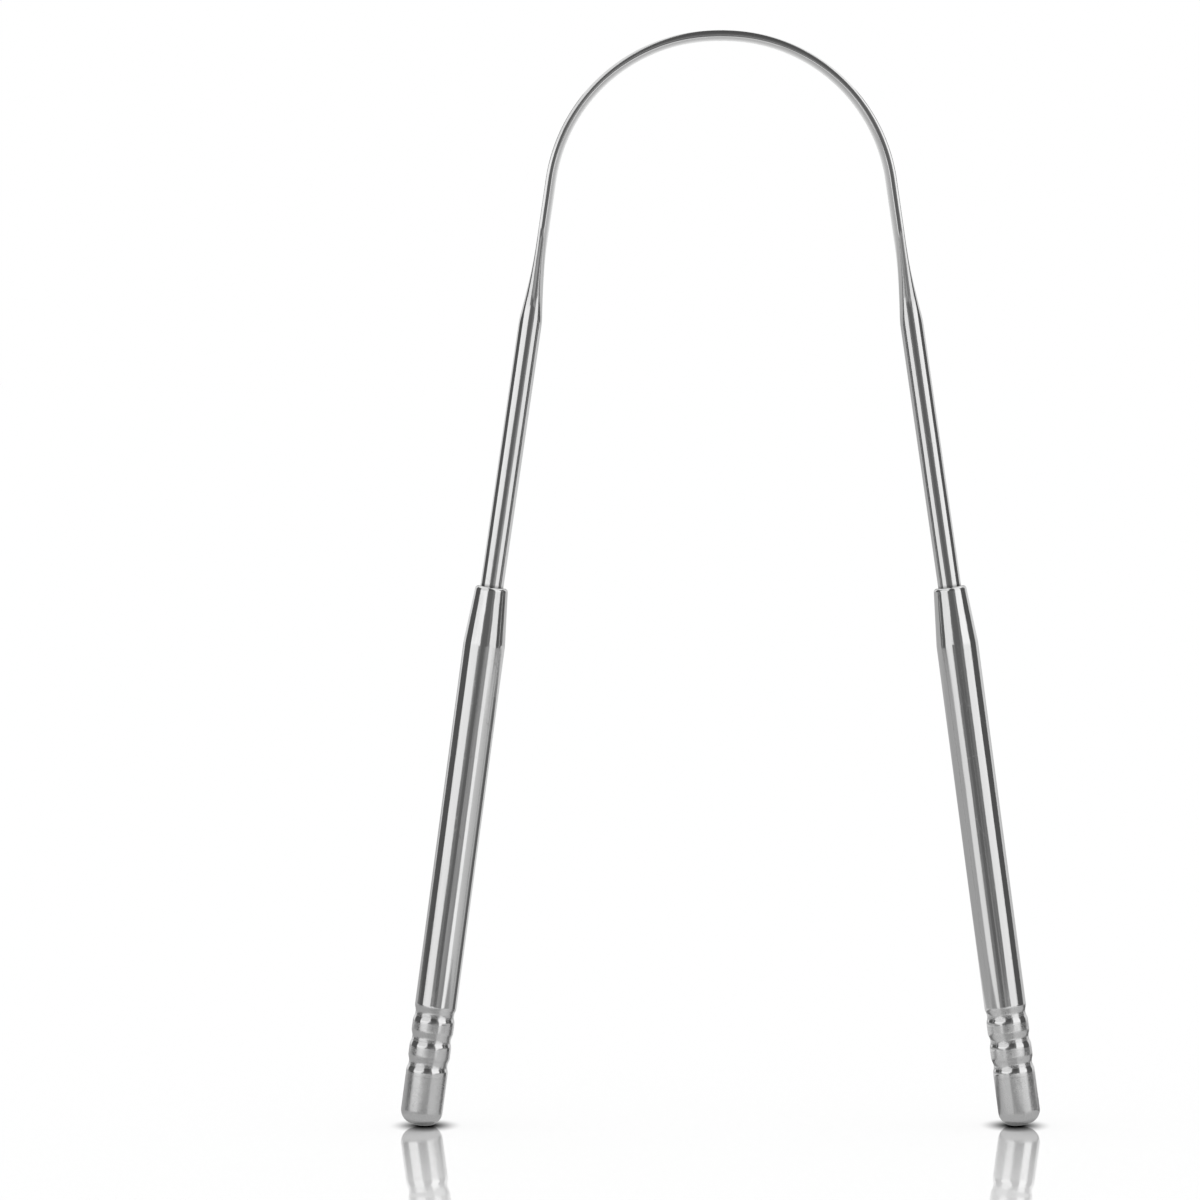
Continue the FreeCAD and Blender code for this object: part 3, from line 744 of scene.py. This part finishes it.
def make_glow():
    """Light of the cards: each point's own level, but white to the floor's sharp mirror."""
    glow = bpy.data.materials.new("card_glow")
    glow.use_nodes = True
    tree = glow.node_tree
    tree.nodes.clear()
    level = add_node(tree, "ShaderNodeAttribute", attribute_name="level").outputs["Fac"]
    from_mirror = add_node(tree, "ShaderNodeLightPath").outputs["Is Singular Ray"]
    strength = ease(tree, from_mirror, 0.0, 1.0, level, 1.0)
    light = add_node(tree, "ShaderNodeEmission", {"Color": grey(1.0), "Strength": strength})
    add_node(tree, "ShaderNodeOutputMaterial", {"Surface": light.outputs[0]})
    return glow


def studio_card(name, rows, glow):
    """Card over rows of (place, level) points that lights only the steel's reflections."""
    width = len(rows[0])
    firsts = [row * width + column for row in range(len(rows) - 1) for column in range(width - 1)]
    faces = [(first, first + 1, first + width + 1, first + width) for first in firsts]
    points = [point for row in rows for point in row]
    mesh = bpy.data.meshes.new(name)
    mesh.from_pydata([place for place, _ in points], [], faces)
    levels = mesh.attributes.new("level", "FLOAT", "POINT")
    levels.data.foreach_set("value", [level for _, level in points])
    mesh.materials.append(glow)
    card = bpy.data.objects.new(name, mesh)
    bpy.context.scene.collection.objects.link(card)
    card.visible_camera = card.visible_diffuse = card.visible_shadow = False
    card.visible_transmission = card.visible_volume_scatter = False


def graded(limits, levels):
    """Stops from one limit to the other, each with its level."""
    stops = spread(*limits, CARD_STEP) + [limits[1]]
    first, last = levels
    rise = (last - first) / (len(stops) - 1)
    return [(stop, first + rise * number) for number, stop in enumerate(stops)]


def far_card(azimuths, elevations, levels, distance):
    columns = graded(azimuths, levels)
    return [[(far_place(column, row, distance), level) for column, _ in columns]
            for row, level in graded(elevations, levels)]


def table_card(side, azimuths, reach, levels, drop):
    columns = graded(azimuths, levels)
    middle = Vector((side * FOOT_CONTACT * MM, 0, -drop))
    return [[(middle + far_place(column, 0, radius * MM), level) for column, level in columns]
            for radius in (TABLE_HUB_MM, reach)]


def backdrop_card(angles, levels):
    """Ring round the way straight behind the scraper."""
    spots = [math.radians(spot) for spot in range(0, 360 + CARD_STEP, CARD_STEP)]
    rows = []
    for angle, level in graded(angles, levels):
        away = math.sin(math.radians(angle)) * CARD_DISTANCE
        behind = math.cos(math.radians(angle)) * CARD_DISTANCE
        rows.append([(Vector((away * math.sin(spot), behind, away * math.cos(spot))), level)
                     for spot in spots])
    return rows


def make_cards():
    glow = make_glow()
    for number, (name, azimuths, elevations, levels) in enumerate(FAR_CARDS, start=1):
        distance = CARD_DISTANCE - CARD_GAP * number
        studio_card(name, far_card(azimuths, elevations, levels, distance), glow)
    for number, (name, side, azimuths, reach, levels) in enumerate(reversed(TABLE_CARDS), start=1):
        studio_card(name, table_card(side, azimuths, reach, levels, TABLE_DROP * number), glow)
    for angles, levels in BACKDROP_FALL:
        studio_card("backdrop_fall", backdrop_card(angles, levels), glow)


# Floor: white, with a painted contact shadow under the feet, and a mirror image of them that fades
# towards the camera.
FLOOR_HALF = 4.0
MIRROR_NEAR = 0.74
MIRROR_FAR = 0.46
MIRROR_FADE = 0.095
CONTACT_SHADOW_CORE_MM = 0.8
CONTACT_SHADOW_REACH_MM = 5.2
CONTACT_SHADOW_STRETCH = 0.55


def contact_gap(tree, place, side):
    """Distance of a place on the floor from a foot, with lengths towards the camera shortened."""
    offset = vector_node(tree, "SUBTRACT", place, (side * FOOT_CONTACT * MM, 0, 0))["Vector"]
    shortened = vector_node(tree, "MULTIPLY", offset, (1, CONTACT_SHADOW_STRETCH, 1))["Vector"]
    return vector_node(tree, "LENGTH", shortened)["Value"]


def make_floor_paint():
    paint = bpy.data.materials.new("white_floor")
    paint.use_nodes = True
    tree = paint.node_tree
    tree.nodes.clear()
    place = add_node(tree, "ShaderNodeNewGeometry").outputs["Position"]
    gap = math_node(tree, "MINIMUM", *[contact_gap(tree, place, side) for side in (-1, 1)])
    # Painted contact shadow: black near each foot, easing to white at its reach, on the matte and the
    # mirror part alike.
    shade = ease(tree, gap, CONTACT_SHADOW_CORE_MM * MM, CONTACT_SHADOW_REACH_MM * MM)
    depth = add_node(tree, "ShaderNodeSeparateXYZ", {0: place}).outputs["Y"]
    fade = ease(tree, depth, -MIRROR_FADE, 0.0, MIRROR_FAR, MIRROR_NEAR)
    matte = add_node(tree, "ShaderNodeBsdfDiffuse", {"Color": shade})
    mirror = add_node(tree, "ShaderNodeBsdfGlossy", {"Color": shade, "Roughness": 0.0})
    mix = add_node(tree, "ShaderNodeMixShader", {0: fade, 1: matte.outputs[0], 2: mirror.outputs[0]})
    add_node(tree, "ShaderNodeOutputMaterial", {"Surface": mix.outputs[0]})
    return paint


def make_studio():
    scene = bpy.context.scene
    scene.view_settings.view_transform = "Standard"
    world = bpy.data.worlds.new("white_room")
    world.use_nodes = True
    backdrop = world.node_tree.nodes["Background"].inputs
    backdrop["Color"].default_value, backdrop["Strength"].default_value = grey(1.0), 1.0
    scene.world = world

    mesh = bpy.data.meshes.new("studio_floor")
    corners = [(x * FLOOR_HALF, y * FLOOR_HALF, 0.0) for x, y in ((-1, -1), (1, -1), (1, 1), (-1, 1))]
    mesh.from_pydata(corners, [], [(0, 1, 2, 3)])
    mesh.materials.append(make_floor_paint())
    floor = bpy.data.objects.new("studio_floor", mesh)
    scene.collection.objects.link(floor)
    floor.visible_glossy = False

    make_cards()


# Camera: a long lens in front, at the height of the crown's shoulders, aimed a little down.
CAMERA_PLACE = Vector((-0.01674, -1.25, 0.135))
CAMERA_AIM = Vector((-0.01674, 0.0, 0.07315))
CAMERA_LENS = 270.85
SENSOR_WIDTH = 36.0
CAMERA_CLIP = (0.1, 20.0)


def make_camera():
    camera = bpy.data.cameras.new("front_camera")
    camera.lens, camera.sensor_width = CAMERA_LENS, SENSOR_WIDTH
    camera.clip_start, camera.clip_end = CAMERA_CLIP
    stand = bpy.data.objects.new("front_camera", camera)
    stand.location = CAMERA_PLACE
    stand.rotation_euler = (CAMERA_AIM - CAMERA_PLACE).to_track_quat("-Z", "Y").to_euler()
    bpy.context.scene.collection.objects.link(stand)
    bpy.context.scene.camera = stand


def make_scraper():
    blade, tube, plug = make_blade_steel(), make_handle_steel(), make_plug_steel()
    dress(make_bow(), "scraper_bow", blade)
    for name, side in (("left", -1), ("right", 1)):
        handle = make_handle_tube(f"{name}_steel_handle", side)
        dress(handle, f"{name}_handle_tube", tube)
        foot = make_end_plug(f"{name}_domed_plug", side)
        dress(foot, f"{name}_end_plug", plug)


make_studio()
make_scraper()
make_camera()
